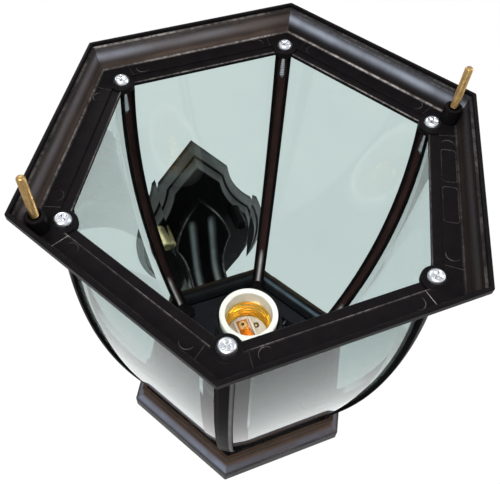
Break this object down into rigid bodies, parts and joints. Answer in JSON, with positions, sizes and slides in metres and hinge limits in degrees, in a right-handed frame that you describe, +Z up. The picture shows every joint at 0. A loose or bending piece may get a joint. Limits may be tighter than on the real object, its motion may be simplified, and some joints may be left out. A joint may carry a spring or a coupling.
{
  "type": "outdoor wall light",
  "caption": "Hexagonal wall lantern, roof off: flanged top ring, curved glass panes between ribs, moulded foot with screw lamp holder, arm and peaked wall plate.",
  "frame": {"origin": "middle of the two wall fixing holes of the bracket, on the wall face", "axes": "+Y into the wall, +Z up, -Y to the room, +X to the right seen from the room"},
  "size_m": [0.2078, 0.197, 0.314],
  "materials": {
    "black_paint": "satin gloss black with a brown sheen on the mouldings",
    "zinc_steel": "bright zinc plate",
    "stud_brass": "plain brass rod",
    "nut_brass": "polished brass",
    "shell_brass": "rolled brass sheet",
    "contact_copper": "copper-coloured spring sheet",
    "porcelain": "white glazed porcelain",
    "black_plastic": "black moulded plastic",
    "lead_brown": "flexible sleeve",
    "lead_blue": "flexible sleeve",
    "clear_glass": "clear bevelled glass, faint blue-green"
  },
  "bodies": {
    "lantern": {"top_ring": "black_paint", "roof_studs": "stud_brass", "ring_screws": "zinc_steel", "foot": "black_paint", "rib_screws": "zinc_steel", "holder_cup": "black_plastic", "holder_strap": "zinc_steel", "holder_body": "porcelain", "holder_screws": "zinc_steel", "screw_shell": "shell_brass", "contact_base": "contact_copper", "contact_eyelet": "shell_brass", "side_rivet": "shell_brass", "nipple": "zinc_steel", "nipple_nut_upper": "zinc_steel", "nipple_nut_lower": "zinc_steel", "lead_live": "lead_brown", "lead_neutral": "lead_blue", "arm": "black_paint", "arm_screws": "zinc_steel", "hub_cap": "black_paint", "wall_plate": "black_paint", "wall_bracket": "zinc_steel", "mounting_bolts": "zinc_steel", "barrel_nuts": "nut_brass", "earth_screw": "nut_brass", "rib_left": "black_paint", "rib_back_left": "black_paint", "rib_back_right": "black_paint", "rib_right": "black_paint", "rib_front_right": "black_paint", "rib_front_left": "black_paint", "pane_back": "clear_glass", "pane_back_right": "clear_glass", "pane_front_right": "clear_glass", "pane_front": "clear_glass", "pane_front_left": "clear_glass", "pane_back_left": "clear_glass"},
    "contact": {"contact_tongue": "contact_copper"}
  },
  "joints": [
    {"name": "contact_press", "type": "hinge", "parent": "lantern", "child": "contact", "pos_m": [0, -0.1029, -0.003], "axis": [1, 0, 0], "range_deg": [0, 10], "stiffness_Nm_per_rad": 0.25}
  ]
}
